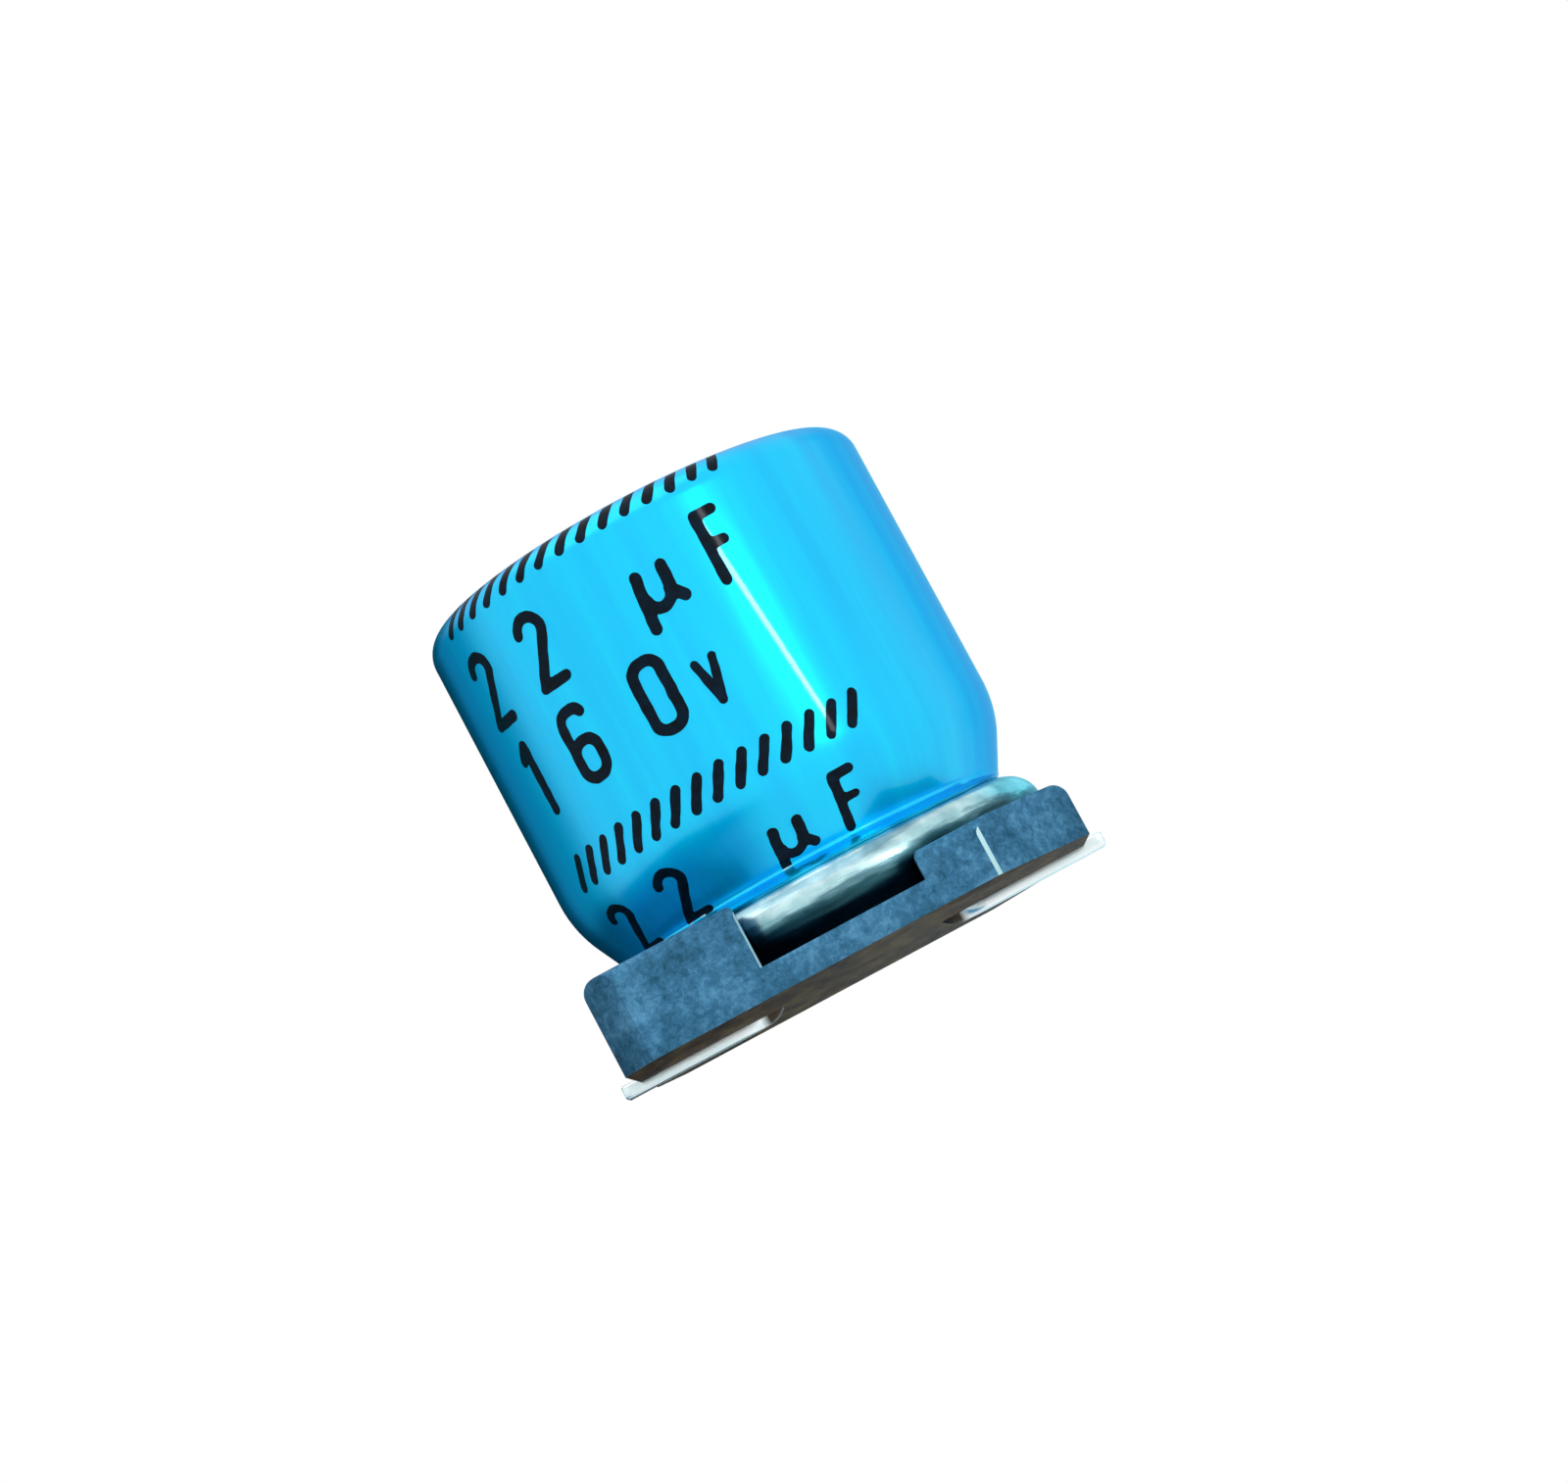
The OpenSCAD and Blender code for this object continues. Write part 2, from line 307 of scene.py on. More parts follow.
def cardMaterial(name, size, colour, strength):
    # a glowing card that shows in its own colour, cut into a fringe so that it fades out at its sides
    material, tree, shader, place = newMaterial(name)
    tree.nodes.remove(shader)
    apart = addNode(tree, "ShaderNodeVectorMath", {0: place}, operation="ABSOLUTE")
    axes = addNode(tree, "ShaderNodeSeparateXYZ", {0: apart})
    fades = [addNode(tree, "ShaderNodeMapRange", {0: axes.outputs[i], 1: size[i] / 2 * mm,
                     2: size[i] / 5 * mm}, interpolation_type="SMOOTHSTEP") for i in (0, 1)]
    solid = addNode(tree, "ShaderNodeMath", {0: fades[0], 1: fades[1]}, operation="MULTIPLY")
    clear = addNode(tree, "ShaderNodeBsdfTransparent")
    glow = addNode(tree, "ShaderNodeEmission", {"Color": linearColour(colour), "Strength": strength})
    mix = addNode(tree, "ShaderNodeMixShader", {0: solid, 1: clear, 2: glow})
    setInputs(tree.nodes["Material Output"], {"Surface": mix})
    return material


def addCard(mirrored, name, spot, size, colour, strength, target):
    card = levelSheet(name, size, cardMaterial(name, size, colour, strength))
    card.matrix_world = facing(spot, target, "Z") if target else Matrix.Translation(Vector(spot) * mm)
    hideFrom(card, "camera", "shadow", "transmission", "diffuse" if mirrored else "glossy")


def addLamp(name, spot, size, watts, turn):
    # a rectangular soft box that faces the can
    data = bpy.data.lights.new(name, "AREA")
    data.shape = "RECTANGLE"
    data.size, data.size_y = size[0] * mm, size[1] * mm
    data.energy = watts
    lamp = newObject(name, data)
    lamp.matrix_world = facing(spot, (0, 0, 6), "-Z") @ Matrix.Rotation(math.radians(turn), 4, "Z")
    return lamp


makeWorld()
makeFloor()
lamps = {lamp[0]: addLamp(*lamp) for lamp in studio["lamps"]}
hideFrom(lamps["softBoxFront"], "glossy")  # the film and the metal mirror the white surroundings instead
for card in studio["mirroredCards"]:
    addCard(True, *card)
for card in studio["shades"]:
    addCard(False, *card)
print("studio lit")


# Materials

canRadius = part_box("can")[1].x / mm
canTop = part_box("can")[1].z / mm


def perGrain(*sizes):
    # a pattern's scale along each axis, from its grain in millimetres
    return tuple(1 / (size * mm) for size in sizes)


def filmCoordinates(tree, place):
    # distance round the can and height up it
    axes = addNode(tree, "ShaderNodeSeparateXYZ", {0: place})
    angle = addNode(tree, "ShaderNodeMath", {0: axes.outputs["Y"], 1: axes.outputs["X"]}, operation="ARCTAN2")
    girth = addNode(tree, "ShaderNodeMath", {0: angle, 1: canRadius * mm}, operation="MULTIPLY")
    return addNode(tree, "ShaderNodeCombineXYZ", {0: girth, 2: axes.outputs["Z"]})


def shrunkFilmMaterial():
    # heat-shrunk PVC film, pulled tight over bright metal: glossy, with faint streaks up the can
    material, tree, shader, place = newMaterial("shrunkPvcFilm")
    stretch = addNode(tree, "ShaderNodeMapping", {"Vector": filmCoordinates(tree, place),
                      "Scale": perGrain(0.9, 1, 14)})
    streaks = addNode(tree, "ShaderNodeTexNoise", {"Vector": stretch, "Scale": 1.0, "Detail": 4.0,
                      "Roughness": 0.6})
    tone = setRamp(addNode(tree, "ShaderNodeValToRGB", {0: streaks}),
                   [(0.3, "#00C2FA"), (0.5, "#00CBFE"), (0.7, "#00D6FF")])
    ripple = addNode(tree, "ShaderNodeBump", {"Height": streaks, "Strength": 0.06, "Distance": 0.05 * mm})
    setInputs(shader, {"Base Color": tone, "Normal": ripple, "Roughness": 0.28, "Metallic": 0.8,
              "Specular IOR Level": 0.1, "Specular Tint": linearColour("#00A8E0"), "Coat Weight": 0.5,
              "Coat Roughness": 0.04})
    return material


def screenInkMaterial():
    # screen-printed ink, nearly black with a little of the blue film showing through it
    material, tree, shader, place = newMaterial("screenPrintedInk")
    grain = addNode(tree, "ShaderNodeTexNoise", {"Vector": place, "Scale": 1 / (0.25 * mm), "Detail": 3.0})
    tone = setRamp(addNode(tree, "ShaderNodeValToRGB", {0: grain}), [(0.3, "#00070F"), (0.7, "#001A2C")])
    setInputs(shader, {"Base Color": tone, "Roughness": 0.4, "Specular IOR Level": 0.05, "Coat Weight": 0.1,
              "Coat Roughness": 0.06})
    return material


def drawnAluminiumMaterial():
    # soft aluminium drawn into a can: bright, with fine lines round it from the beading wheel. The rolled lip
    # carries painted bands: a painted highlight, a grey painted reflection beside it and painted shade below
    # it.
    material, tree, shader, place = newMaterial("drawnAluminium")
    axes = addNode(tree, "ShaderNodeSeparateXYZ", {0: place})
    across = addNode(tree, "ShaderNodeVectorMath", {0: place, 1: (1, 1, 0)}, operation="MULTIPLY")
    radius = addNode(tree, "ShaderNodeVectorMath", {0: across}, operation="LENGTH")
    rings = addNode(tree, "ShaderNodeCombineXYZ", {0: radius.outputs["Value"], 2: axes.outputs["Z"]})
    fine = addNode(tree, "ShaderNodeTexNoise", {"Vector": rings, "Scale": 1 / (0.08 * mm), "Detail": 3.0})
    blotch = addNode(tree, "ShaderNodeTexNoise", {"Vector": place, "Scale": 1 / (1.6 * mm), "Detail": 3.0})
    drawn = addNode(tree, "ShaderNodeMapping", {"Vector": place, "Scale": perGrain(1.5, 1.5, 0.22)})
    smear = addNode(tree, "ShaderNodeTexNoise", {"Vector": drawn, "Scale": 1.0, "Detail": 4.0,
                    "Roughness": 0.6})
    # painted shade and highlight bands up the lip, with a smeared border that lies lower towards both sides
    above = addNode(tree, "ShaderNodeMapRange", {0: axes.outputs["Z"], 1: 1.0 * mm, 2: 3.0 * mm})
    wander = addNode(tree, "ShaderNodeMath", {0: smear, 1: 0.3, 2: -0.15}, operation="MULTIPLY_ADD")
    sideways = addNode(tree, "ShaderNodeMath", {0: axes.outputs["X"]}, operation="ABSOLUTE")
    sideShade = addNode(tree, "ShaderNodeMapRange", {0: sideways, 1: 1.6 * mm, 2: 3.0 * mm, 4: -0.13})
    paintedShadeLevel = addNode(tree, "ShaderNodeMath", {0: wander, 1: sideShade}, operation="ADD")
    level = addNode(tree, "ShaderNodeMath", {0: above, 1: paintedShadeLevel}, operation="ADD")
    # from the bottom: painted shade, a painted highlight, a grey painted reflection, then the metal's own
    # tone
    paintedLipBands = setRamp(addNode(tree, "ShaderNodeValToRGB", {0: level}),
                    [(0.2, "#14292F"), (0.36, "#2F5C66"), (0.44, "#6F9CA8"), (0.5, "#C4EEF2"),
                     (0.6, "#D9F6F8"), (0.66, "#A6CBD6"), (0.74, "#8DB9C8"), (0.8, "#E6FAFB")])
    cast = setRamp(addNode(tree, "ShaderNodeValToRGB", {0: blotch}), [(0.38, "#B4C6CC"), (0.56, "#FFFFFF")])
    tone = addNode(tree, "ShaderNodeMix", {0: 1.0, 6: paintedLipBands, 7: cast}, data_type="RGBA",
                   blend_type="MULTIPLY")
    # the can's colour is darker towards its end, from 8 mm up
    endDarkening = addNode(tree, "ShaderNodeMapRange", {0: axes.outputs["Z"], 1: 8 * mm, 2: 10 * mm, 3: 1.0, 4: 0.62})
    dulled = addNode(tree, "ShaderNodeVectorMath", {0: tone.outputs[2], "Scale": endDarkening}, operation="SCALE")
    shine = addNode(tree, "ShaderNodeMapRange", {0: blotch, 3: 0.18, 4: 0.34})
    bump = addNode(tree, "ShaderNodeBump", {"Height": fine, "Strength": 0.12, "Distance": 0.02 * mm})
    setInputs(shader, {"Base Color": dulled, "Roughness": shine, "Normal": bump, "Metallic": 1.0})
    return material


def tinPlateMaterial():
    # tinned wire, pressed flat: whiter and softer in its shine than the can, dragged along its length, and
    # given painted shade, brown-black, where it comes out of its hole
    material, tree, shader, place = newMaterial("tinPlatedWire")
    flow = addNode(tree, "ShaderNodeMapping", {"Vector": place, "Scale": perGrain(1.2, 0.15, 0.15)})
    drag = addNode(tree, "ShaderNodeTexNoise", {"Vector": flow, "Scale": 1.0, "Detail": 4.0})
    tone = setRamp(addNode(tree, "ShaderNodeValToRGB", {0: drag}), [(0.3, "#D8EEF0"), (0.7, "#FAFEFE")])
    axes = addNode(tree, "ShaderNodeSeparateXYZ", {0: place})
    # painted shade: brown-black within 2.85 mm of the middle, fading out by 3.1 mm
    outwards = addNode(tree, "ShaderNodeMath", {0: axes.outputs["X"]}, operation="ABSOLUTE")
    paintedShadeLevel = addNode(tree, "ShaderNodeMapRange", {0: outwards, 1: 3.1 * mm, 2: 2.85 * mm})
    plated = addNode(tree, "ShaderNodeMix", {0: paintedShadeLevel, 6: tone, 7: linearColour("#3B362F")},
                     data_type="RGBA")
    shine = addNode(tree, "ShaderNodeMapRange", {0: drag, 3: 0.2, 4: 0.38})
    bump = addNode(tree, "ShaderNodeBump", {"Height": drag, "Strength": 0.1, "Distance": 0.02 * mm})
    setInputs(shader, {"Base Color": plated.outputs[2], "Roughness": shine, "Normal": bump, "Metallic": 1.0})
    return material


def filledNylonMaterial():
    # glass-filled nylon, moulded: satin slate, mottled with short fibres and flow marks, and a brown, darker
    # underside that is painted shade and painted reflection. Four upright edges carry a painted highlight.
    material, tree, shader, place = newMaterial("glassFilledNylon")
    flow = addNode(tree, "ShaderNodeTexNoise", {"Vector": place, "Scale": 1 / (1.6 * mm), "Detail": 2.0})
    fibre = addNode(tree, "ShaderNodeTexNoise", {"Vector": place, "Scale": 1 / (0.24 * mm), "Detail": 4.0,
                    "Roughness": 0.75, "Distortion": 0.3})
    mottle = addNode(tree, "ShaderNodeMix", {0: 0.55, 2: flow, 3: fibre})
    face = setRamp(addNode(tree, "ShaderNodeValToRGB", {0: mottle}),
                   [(0.36, "#26566F"), (0.5, "#407A9E"), (0.64, "#62A2C8")])
    # mottle for the underside's painted shade
    spread = addNode(tree, "ShaderNodeMapping", {"Vector": place, "Scale": perGrain(0.8, 2.4, 1)})
    undersideMottle = addNode(tree, "ShaderNodeTexNoise", {"Vector": spread, "Scale": 1.0, "Detail": 5.0,
                    "Roughness": 0.65})
    below = setRamp(addNode(tree, "ShaderNodeValToRGB", {0: undersideMottle}),
                    [(0.34, "#2C2322"), (0.5, "#5A4A36"), (0.66, "#86734F")])
    # painted shade and a brown painted reflection on faces turned down, by their true normal
    surface = addNode(tree, "ShaderNodeNewGeometry")
    tilt = addNode(tree, "ShaderNodeSeparateXYZ", {0: surface.outputs["True Normal"]})
    down = addNode(tree, "ShaderNodeMapRange", {0: tilt.outputs["Z"], 1: -0.4, 2: -0.9})
    tone = addNode(tree, "ShaderNodeMix", {0: down, 6: face, 7: below}, data_type="RGBA")
    marked = addNode(tree, "ShaderNodeAttribute", attribute_name="edgePolish")
    # painted highlight on the marked upright edge faces
    edged = addNode(tree, "ShaderNodeMix", {0: marked.outputs["Fac"], 6: tone.outputs[2],
                    7: linearColour("#C4F1F6")}, data_type="RGBA")
    grit = addNode(tree, "ShaderNodeTexNoise", {"Vector": place, "Scale": 1 / (0.12 * mm), "Detail": 2.0})
    bump = addNode(tree, "ShaderNodeBump", {"Height": grit, "Strength": 0.25, "Distance": 0.02 * mm})
    setInputs(shader, {"Base Color": edged.outputs[2], "Normal": bump, "Roughness": 0.6,
              "Specular IOR Level": 0.06})
    return material


def hiddenMaterial(name, grain, detail, stops, relief, surface, unrolled=False):
    # a plain finish for an inner piece, whose one noise gives its tone and its relief: a strength and a depth
    material, tree, shader, place = newMaterial(name)
    if unrolled:
        place = filmCoordinates(tree, place)
    spread = addNode(tree, "ShaderNodeMapping", {"Vector": place, "Scale": perGrain(*grain)})
    pattern = addNode(tree, "ShaderNodeTexNoise", {"Vector": spread, "Scale": 1.0, "Detail": detail})
    tone = setRamp(addNode(tree, "ShaderNodeValToRGB", {0: pattern}), stops)
    bump = addNode(tree, "ShaderNodeBump", {"Height": pattern, "Strength": relief[0],
                   "Distance": relief[1] * mm})
    setInputs(shader, {"Base Color": tone, "Normal": bump, **surface})
    return material


aluminium = drawnAluminiumMaterial()
nylon = filledNylonMaterial()
tinPlate = tinPlateMaterial()
shrunkFilm = shrunkFilmMaterial()
screenInk = screenInkMaterial()
print("materials mixed")


# Outline of the can's wall: the same chain of arcs in the film and in the metal

wall = {
    "metal": 0.35,          # thickness of the can's wall
    "end": 0.45,            # thickness of its end
    "shoulder": 0.65,       # radii, all of the metal's outer face
    "neck": 3.2,
    "bead": 0.2,
    "lip": 0.8,
    "beadDepth": 0.8,
    "neckSlope": 27,        # degrees from upright
    "lipSlope": 70,
    "lipSide": 0.2,
    "lipTurn": 150,         # degrees that the lip is rolled
}

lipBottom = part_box("can")[0].z / mm


def flankRise(radii, slopeDeg):
    # height between the centres of two arcs that a straight flank joins
    slope = math.radians(slopeDeg)
    return radii * math.sin(slope) + (wall["beadDepth"] - radii * (1 - math.cos(slope))) / math.tan(slope)


lipCentre = (canRadius - wall["lip"], lipBottom + wall["lip"])
lipTopCentre = (lipCentre[0], lipCentre[1] + wall["lipSide"])
beadCentre = (canRadius - wall["beadDepth"] + wall["bead"],
              lipTopCentre[1] + flankRise(wall["lip"] + wall["bead"], wall["lipSlope"]))
neckCentre = (canRadius - wall["neck"],
              beadCentre[1] + flankRise(wall["neck"] + wall["bead"], wall["neckSlope"]))
shoulderCentre = (canRadius - wall["shoulder"], canTop - wall["shoulder"])


def shoulderOutline(depth):
    return arcPoints(shoulderCentre, wall["shoulder"] - depth, 90, 0, 14)


def neckOutline(depth):
    # from the straight side in to the bead's floor
    return (arcPoints(neckCentre, wall["neck"] - depth, 0, -wall["neckSlope"], 14)
            + arcPoints(beadCentre, wall["bead"] + depth, 180 - wall["neckSlope"], 180, 5))


def lipOutline(depth, stopDeg):
    # from the bead's floor out over the top of the lip
    return (arcPoints(beadCentre, wall["bead"] + depth, 180, 180 + wall["lipSlope"], 8)[1:]
            + arcPoints(lipTopCentre, wall["lip"] - depth, wall["lipSlope"], stopDeg, 10))


def outlineLength(points):
    return sum(math.dist(a, b) for a, b in zip(points, points[1:]))


def outlineObject(name, points):
    # a chain of edges in the XZ plane, read by the node trees
    mesh = bpy.data.meshes.new(name)
    spots = [(r * mm, 0, z * mm) for r, z in points]
    mesh.from_pydata(spots, [(i, i + 1) for i in range(len(points) - 1)], [])
    return newObject(name, mesh)


# Geometry Nodes: shared steps

def addInputs(tree, **names):
    # named inputs, listed by the kind of their sockets
    for kind in names:
        for name in names[kind]:
            tree.interface.new_socket(name, in_out="INPUT", socket_type="NodeSocket" + kind)
    tree.interface.new_socket("Geometry", in_out="OUTPUT", socket_type="NodeSocketGeometry")
    return addNode(tree, "NodeGroupInput").outputs


def endTree(tree, geometry, material):
    real = addNode(tree, "GeometryNodeRealizeInstances", {"Geometry": geometry})
    dressed = addNode(tree, "GeometryNodeSetMaterial", {"Geometry": real, "Material": material})
    addNode(tree, "NodeGroupOutput", {0: dressed})
    return tree


def runTree(name, tree, settings, start=None):
    # the tree's result as a plain mesh, with the modifier gone
    obj = newObject(name, start or bpy.data.meshes.new(name))
    modifier = obj.modifiers.new("nodes", "NODES")
    modifier.node_group = tree
    sockets = {item.name: item.identifier for item in tree.interface.items_tree if item.in_out == "INPUT"}
    for label, value in settings.items():
        modifier[sockets[label]] = value
    bakeModifiers(obj)
    return obj


def spinNodes(tree, radius, angle, height):
    # radius, angle and height to a place round the Z axis
    cosine = addNode(tree, "ShaderNodeMath", {0: angle}, operation="COSINE")
    sine = addNode(tree, "ShaderNodeMath", {0: angle}, operation="SINE")
    x = addNode(tree, "ShaderNodeMath", {0: radius, 1: cosine}, operation="MULTIPLY")
    y = addNode(tree, "ShaderNodeMath", {0: radius, 1: sine}, operation="MULTIPLY")
    return addNode(tree, "ShaderNodeCombineXYZ", {0: x, 1: y, 2: height})


# Geometry Nodes: an outline turned round the axis, whose film may be shrunk back unevenly at its hem

def buildTurnedTree():
    tree = bpy.data.node_groups.new("turnedOutline", "GeometryNodeTree")
    given = addInputs(tree, Geometry=["Geometry"], Object=["Outline"], Int=["Points", "Segments"],
                      Float=["Hem Length", "Hem Reach", "Hem Cut", "Hem Dip", "Dip Angle", "Seed"],
                      Material=["Material"])
    outline = addNode(tree, "GeometryNodeObjectInfo", {"Object": given["Outline"]})
    curve = addNode(tree, "GeometryNodeMeshToCurve", {"Mesh": outline.outputs["Geometry"]})
    columns = addNode(tree, "ShaderNodeMath", {0: given["Segments"], 1: 1}, operation="ADD")
    grid = addNode(tree, "GeometryNodeMeshGrid", {"Vertices X": columns, "Vertices Y": given["Points"]})
    index = addNode(tree, "GeometryNodeInputIndex")
    column = addNode(tree, "FunctionNodeIntegerMath", {0: index, 1: given["Points"]},
                     operation="DIVIDE_FLOOR")
    row = addNode(tree, "FunctionNodeIntegerMath", {0: index, 1: given["Points"]}, operation="MODULO")
    share = addNode(tree, "ShaderNodeMath", {0: column, 1: given["Segments"]}, operation="DIVIDE")
    angle = addNode(tree, "ShaderNodeMath", {0: share, 1: 2 * math.pi}, operation="MULTIPLY")
    # how far along the outline each row lies, before and after the hem is cut back
    along = addNode(tree, "GeometryNodeSplineParameter")
    rowLength = addNode(tree, "GeometryNodeSampleIndex", {"Geometry": curve,
                        "Value": along.outputs["Length"], "Index": row}, data_type="FLOAT")
    past = addNode(tree, "ShaderNodeMath", {0: rowLength, 1: given["Hem Length"]}, operation="SUBTRACT")
    side = addNode(tree, "ShaderNodeMath", {0: past}, operation="SIGN")
    gap = addNode(tree, "ShaderNodeMath", {0: past}, operation="ABSOLUTE")
    around = addNode(tree, "ShaderNodeCombineXYZ", {0: 1.0, 2: given["Seed"]})
    turnedRound = addNode(tree, "ShaderNodeVectorRotate", {0: around, "Angle": angle},
                          rotation_type="Z_AXIS")
    wave = addNode(tree, "ShaderNodeTexNoise", {"Vector": turnedRound, "Scale": 2.2, "Detail": 3.0})
    nearHem = addNode(tree, "ShaderNodeMapRange", {0: gap, 1: 0.0, 2: given["Hem Reach"], 3: 1.0, 4: 0.0})
    ragged = addNode(tree, "ShaderNodeMath", {0: wave, 1: given["Hem Cut"]}, operation="MULTIPLY")
    # on one side the film has pulled up further
    away = addNode(tree, "ShaderNodeMath", {0: angle, 1: given["Dip Angle"]}, operation="SUBTRACT")
    towards = addNode(tree, "ShaderNodeMath", {0: away}, operation="COSINE")
    oneSide = addNode(tree, "ShaderNodeMath", {0: towards, 1: 0.0}, operation="MAXIMUM")
    narrow = addNode(tree, "ShaderNodeMath", {0: oneSide, 1: 6.0}, operation="POWER")
    cut = addNode(tree, "ShaderNodeMath", {0: narrow, 1: given["Hem Dip"], 2: ragged},
                  operation="MULTIPLY_ADD")
    shift = addNode(tree, "ShaderNodeMath", {0: cut, 1: nearHem, 2: gap}, operation="MULTIPLY_ADD")
    cutLength = addNode(tree, "ShaderNodeMath", {0: shift, 1: side, 2: given["Hem Length"]},
                        operation="MULTIPLY_ADD")
    point = addNode(tree, "GeometryNodeSampleCurve", {"Curves": curve, "Length": cutLength}, mode="LENGTH")
    axes = addNode(tree, "ShaderNodeSeparateXYZ", {0: point.outputs["Position"]})
    place = spinNodes(tree, axes.outputs["X"], angle, axes.outputs["Z"])
    turned = addNode(tree, "GeometryNodeSetPosition", {"Geometry": grid.outputs["Mesh"], "Position": place})
    closed = addNode(tree, "GeometryNodeMergeByDistance", {"Geometry": turned, "Distance": 0.0005 * mm})
    return endTree(tree, closed, given["Material"])


turnedTree = buildTurnedTree()


# Can: drawn, beaded and rolled aluminium, with a scored cross in its end

can = {
    "segments": 192,
    "ventArm": 3.6,         # from the middle of the end
    "ventDepth": 0.2,
    "ventWidth": 0.3,
}


def scoreLine(quarter):
    # a long wedge that cuts one V-shaped line into the can's end
    wide, depth, arm = can["ventWidth"] * 1.5, can["ventDepth"], can["ventArm"]
    section = [(-wide, canTop + depth * 2), (0, canTop - depth), (wide, canTop + depth * 2)]
    cutter = prism("ventScore", section, "Y", -arm, arm)
    cutter.data.transform(Matrix.Rotation(quarter * math.pi / 2, 4, "Z"))
    return cutter


def makeCan():
    inner = wall["metal"]
    outline = ([(0, canTop)] + shoulderOutline(0) + neckOutline(0) + lipOutline(0, 0)
               + arcPoints(lipCentre, wall["lip"], 0, -wall["lipTurn"], 30)[1:]
               + arcPoints(lipCentre, wall["lip"] - inner, -wall["lipTurn"], 0, 30)
               + (shoulderOutline(inner) + neckOutline(inner) + lipOutline(inner, 0))[::-1][1:]
               + [(0, canTop - wall["end"])])
    guide = outlineObject("canOutline", outline)
    obj = runTree("canShell", turnedTree, {
        "Outline": guide, "Points": len(outline), "Segments": can["segments"], "Hem Length": -1.0,
        "Hem Reach": 0.001, "Hem Cut": 0.0, "Hem Dip": 0.0, "Dip Angle": 0.0, "Seed": 0.0,
        "Material": aluminium})
    bpy.data.objects.remove(guide)
    for quarter in (0, 1):
        cutWith(obj, scoreLine(quarter))
    cleanMesh(obj, 40)
    finishPiece(obj, "can_aluminium", "can")
    return obj


print("can turned:", len(makeCan().data.polygons), "faces")


# Sleeve: film shrunk over the shoulder and into the bead, with a slightly uneven hem

sleeve = {
    "thickness": 0.1,
    "fit": 0.01,            # between the film and the can
    "holeDiameter": 9.8,
    "stopDegrees": 46,      # where it ends on the lip
    "hemCut": 0.1,          # most that the hem draws back, in small waves
    "hemDip": 0.6,          # how far it draws back on the positive side
    "hemReach": 2.2,
    "segments": 256,
    "seed": 3.0,
}


def filmOutline(depth):
    return ([(sleeve["holeDiameter"] / 2, canTop - depth)] + shoulderOutline(depth) + neckOutline(depth)
            + lipOutline(depth, sleeve["stopDegrees"]))


def makeSleeve():
    outer = filmOutline(-sleeve["thickness"])
    outline = outer + filmOutline(-sleeve["fit"])[::-1]
    outline.append(outline[0])
    hem = outlineLength(outer) + (sleeve["thickness"] - sleeve["fit"]) / 2
    guide = outlineObject("sleeveOutline", outline)
    obj = runTree("sleeveFilm", turnedTree, {
        "Outline": guide, "Points": len(outline), "Segments": sleeve["segments"], "Hem Length": hem * mm,
        "Hem Reach": sleeve["hemReach"] * mm, "Hem Cut": sleeve["hemCut"] * mm,
        "Hem Dip": sleeve["hemDip"] * mm, "Dip Angle": 0.0, "Seed": sleeve["seed"], "Material": shrunkFilm})
    bpy.data.objects.remove(guide)
    cleanMesh(obj, 40)
    finishPiece(obj, "sleeve_film", "sleeve")
    return obj


print("sleeve shrunk:", len(makeSleeve().data.polygons), "faces")


# Printing on the sleeve: capacitance, voltage and a plain row of strokes, repeated up and round the film

printing = {
    "cell": 0.06,           # size of the squares that the ink's outline is drawn on
    "roughEdge": 0.025,     # how far the outline wanders
    "roughGrain": 0.3,      # over what length it does
    "inkThickness": 0.006,
    "inkInFilm": 0.004,     # part of the ink's thickness below the film's surface
    "tilt": 1.35,           # degrees, rising to the right
    "rowHeights": (10.95, 8.32, 5.68),
    "repeat": 7.45,
    "columns": 2,
    "rows": 3,
    "lowest": 2.35,         # heights on the unrolled film between which it is printed
    "highest": 13.4,
    "gatherBelow": 4.4,     # height under which the film has shrunk along its length too
    "gatherShare": 0.22,
}

digitWidth, digitHeight = 0.78, 1.84


def roundedBox(low, high, radius):
    # a closed line round a box of the digits' width
    right = digitWidth - radius
    return (arcPoints((right, high - radius), radius, 0, 90, 5)
            + arcPoints((radius, high - radius), radius, 90, 180, 5)
            + arcPoints((radius, low + radius), radius, 180, 270, 5)
            + arcPoints((right, low + radius), radius, 270, 360, 5) + [(digitWidth, high - radius)])


# stroke width of each character, and its strokes as points from its lower left corner
characters = {
    "0": (0.31, [roundedBox(0, digitHeight, 0.33)]),
    "1": (0.32, [[(0.08, digitHeight - 0.34), (0.36, digitHeight), (0.36, 0)]]),
    "2": (0.31, [arcPoints((0.39, digitHeight - 0.39), 0.39, 170, -35, 10) + [(0, 0), (digitWidth, 0)]]),
    "6": (0.31, [roundedBox(0, 1.0, 0.33),
                 [(0, 0.5)] + arcPoints((0.33, digitHeight - 0.33), 0.33, 180, 90, 5)
                 + arcPoints((digitWidth - 0.33, digitHeight - 0.33), 0.33, 80, 30, 3)]),
    "micro": (0.32, [[(0, -0.26), (0.12, 1.12)], arcPoints((0.44, 0.48), 0.34, 180, 360, 10),
                     [(0.86, 1.12), (0.82, 0.42), (1.06, 0.16)]]),
    "F": (0.3, [[(0, 0), (0, 1.8)], [(0, 1.8), (0.5, 1.8)], [(0, 0.96), (0.44, 0.96)]]),
    "v": (0.23, [[(0, 1.1), (0.25, 0), (0.5, 1.1)]]),
    "dash": (0.28, [[(0, 0.57), (0.4, 1.27)]]),
}

# each row's characters, with the angle from the front of the middle of each
rowText = [
    [("2", -54.5), ("2", -33.8), ("micro", -1.2), ("F", 15.8)],
    [("1", -54.5), ("6", -34.9), ("0", -12.9), ("v", 0.0)],
    [("dash", -57 + 5.9 * i) for i in range(15)],
]


